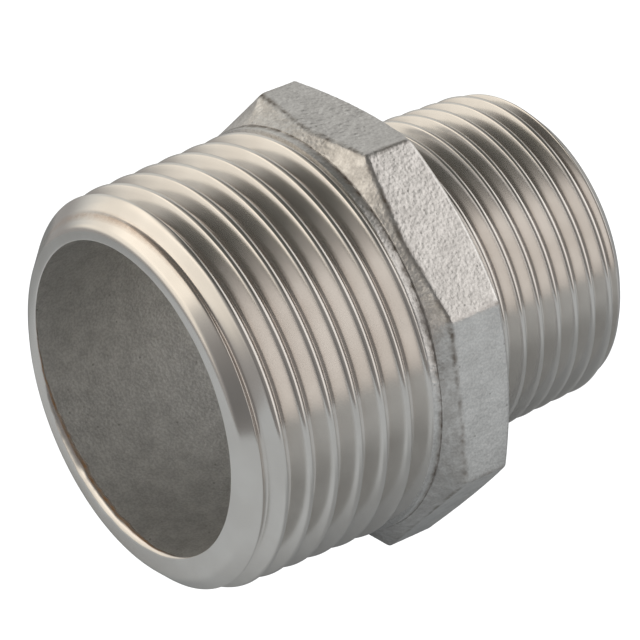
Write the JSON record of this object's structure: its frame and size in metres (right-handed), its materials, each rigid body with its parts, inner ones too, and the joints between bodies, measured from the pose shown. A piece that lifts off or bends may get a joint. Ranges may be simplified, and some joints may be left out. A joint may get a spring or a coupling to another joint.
{
  "type": "reducing pipe nipple",
  "caption": "Stainless reducing pipe nipple: tapered male thread at each end, cast octagonal wrench section between, open bore right through.",
  "frame": {"origin": "on the bore's axis, half way between the two end faces", "axes": "+X along the bore, from the large thread to the small thread; +Z out of the wrench section's top flat"},
  "size_m": [0.04, 0.035, 0.035],
  "materials": {
    "turned_stainless": "turned, warm grey, fine lathe lines round the axis",
    "cast_stainless": "investment-cast and shot-blasted, pebbly, satin grey"
  },
  "bodies": {
    "root": {"large_male_thread": "turned_stainless", "wrench_octagon": "cast_stainless", "small_male_thread": "turned_stainless"}
  },
  "joints": []
}
